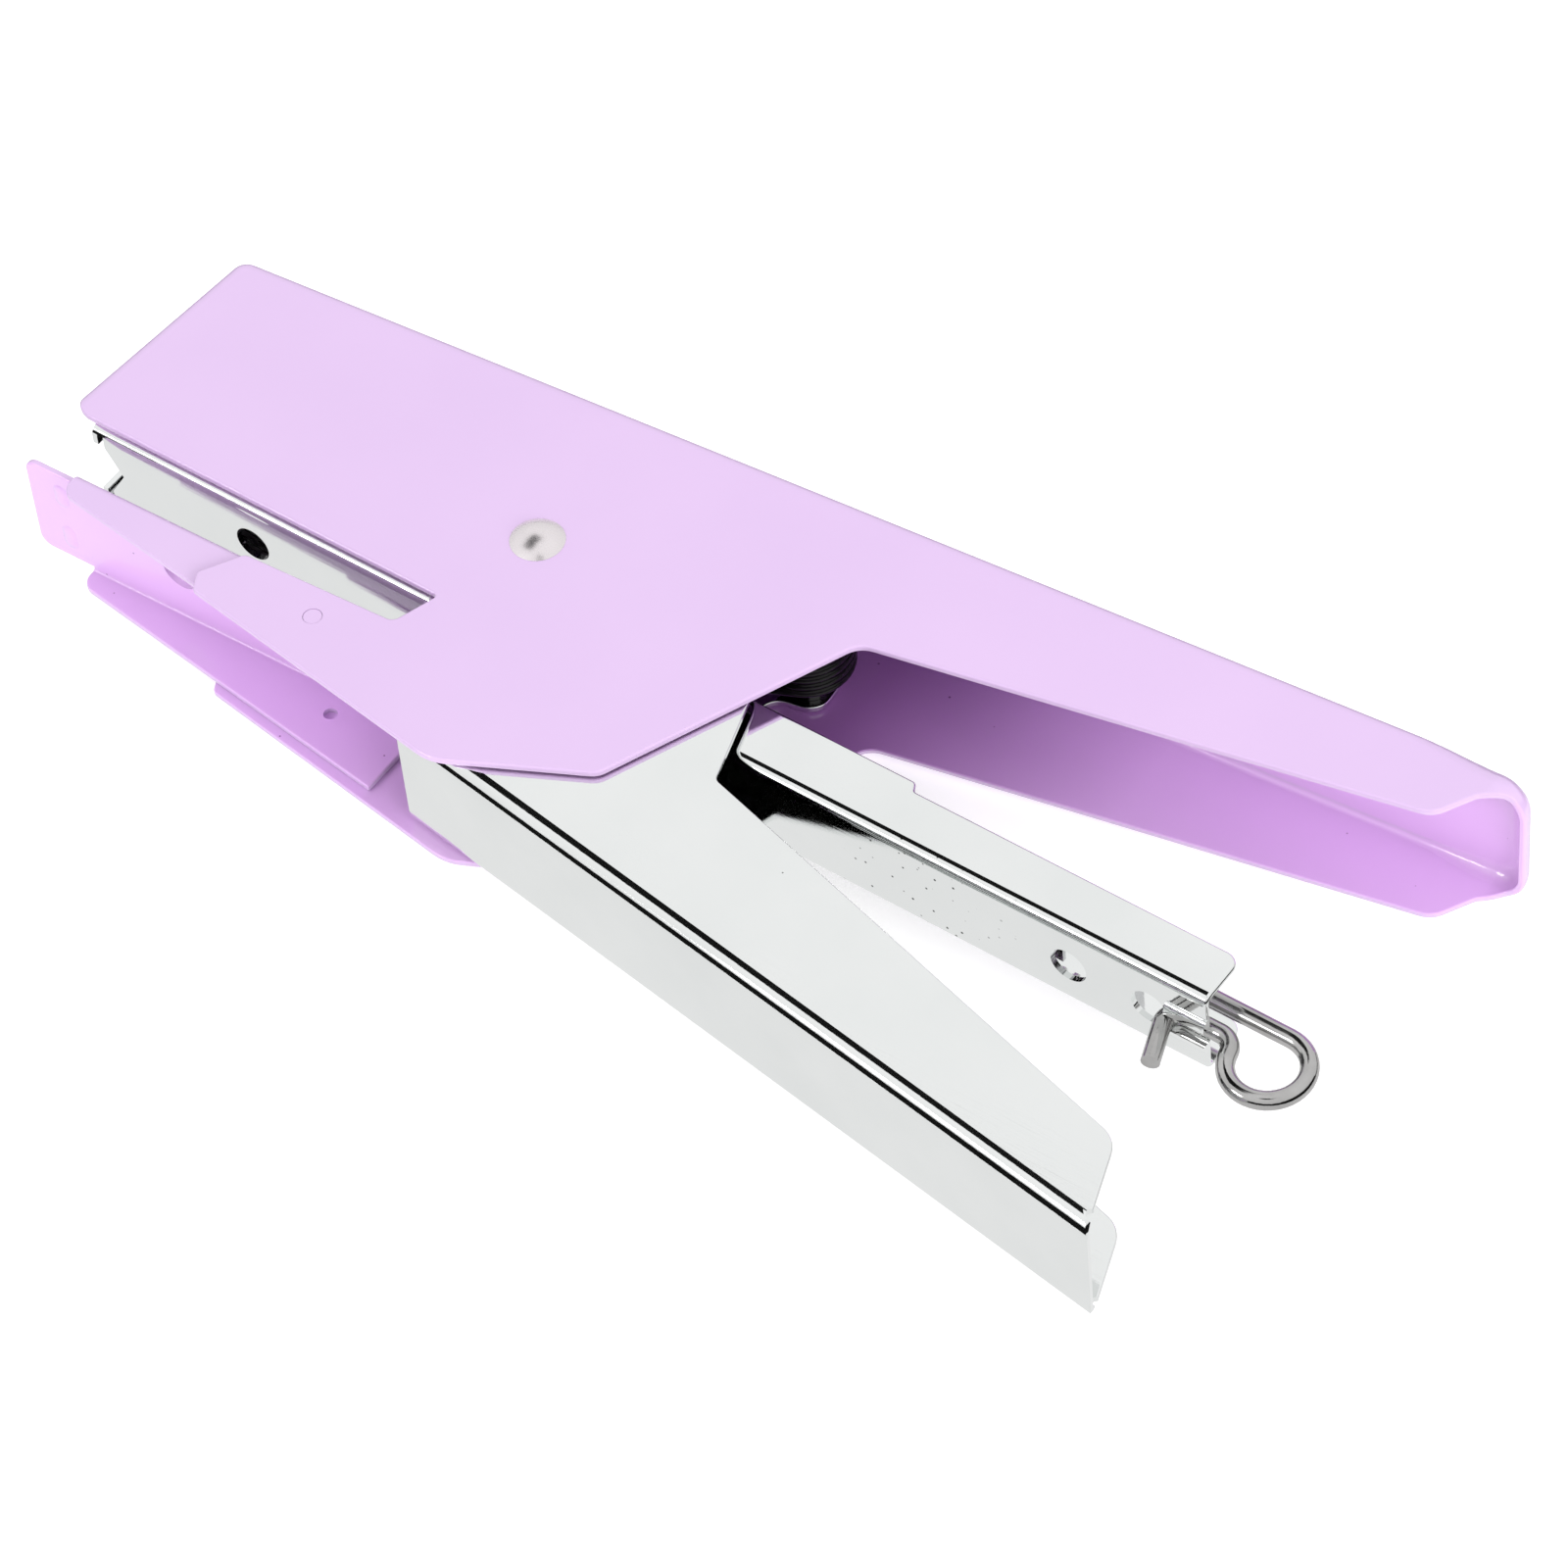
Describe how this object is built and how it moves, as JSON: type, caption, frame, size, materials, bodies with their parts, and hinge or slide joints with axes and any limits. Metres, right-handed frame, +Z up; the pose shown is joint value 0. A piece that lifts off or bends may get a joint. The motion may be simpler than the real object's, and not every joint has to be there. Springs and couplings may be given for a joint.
{
  "type": "plier stapler",
  "caption": "Hand-held plier stapler with a painted sheet-metal body and jaw, a bright squeeze handle, and a bright magazine with a wire-loop feed rod.",
  "frame": {"origin": "centre of the flat tail of the main rivet, on the surface that the stapler lies on", "axes": "+X from the nose to the ends of the handles, along the magazine; +Y towards the spine of the upper handle; +Z up, along the main rivet"},
  "size_m": [0.1663, 0.0728, 0.02],
  "materials": {
    "lilac_paint": "gloss",
    "chrome": "polished",
    "nickel": "satin",
    "steel": "satin",
    "steel_wire": "drawn",
    "black_spring_steel": "oiled black",
    "blade_steel": "ground"
  },
  "bodies": {
    "frame": {"body_shell": "lilac_paint", "anvil_arm": "lilac_paint", "pivot_rivet": "nickel", "pivot_washers": "steel"},
    "lever": {"lower_handle": "chrome", "spring_post": "black_spring_steel", "return_spring": "black_spring_steel", "blade_pin": "steel"},
    "magazine": {"magazine_channel": "chrome", "staple_core": "steel", "pivot_spacer": "steel"},
    "driver": {"driver_blade": "blade_steel"},
    "feed": {"feed_rod": "steel_wire", "rod_collar": "steel", "rod_stop": "steel", "feed_spring": "steel_wire"},
    "follower": {"pusher": "steel"}
  },
  "joints": [
    {"name": "lever_pivot", "type": "hinge", "parent": "frame", "child": "lever", "pos_m": [0, 0, 0.01], "axis": [0, 0, 1], "range_deg": [0, 14.4], "stiffness_Nm_per_rad": 0.6, "springref_deg": -20.05, "deforming": ["return_spring"]},
    {"name": "magazine_pivot", "type": "hinge", "parent": "frame", "child": "magazine", "pos_m": [0, 0, 0.01], "axis": [0, 0, 1], "range_deg": [0, 6.8]},
    {"name": "driver_slide", "type": "slide", "parent": "magazine", "child": "driver", "axis": [0, -1, 0], "range_m": [0, 0.00687]},
    {"name": "feed_rod_slide", "type": "slide", "parent": "magazine", "child": "feed", "axis": [1, 0, 0], "range_m": [0, 0.1]},
    {"name": "pusher_slide", "type": "slide", "parent": "feed", "child": "follower", "axis": [1, 0, 0], "range_m": [0, 0.09], "stiffness_N_per_m": 20, "springref_m": -0.05, "deforming": ["feed_spring"]}
  ],
  "couplings": [
    {"joint": "magazine_pivot", "follows": "lever_pivot", "ratio": 0.47222},
    {"joint": "driver_slide", "follows": "lever_pivot", "m_per_rad": 0.027293}
  ]
}
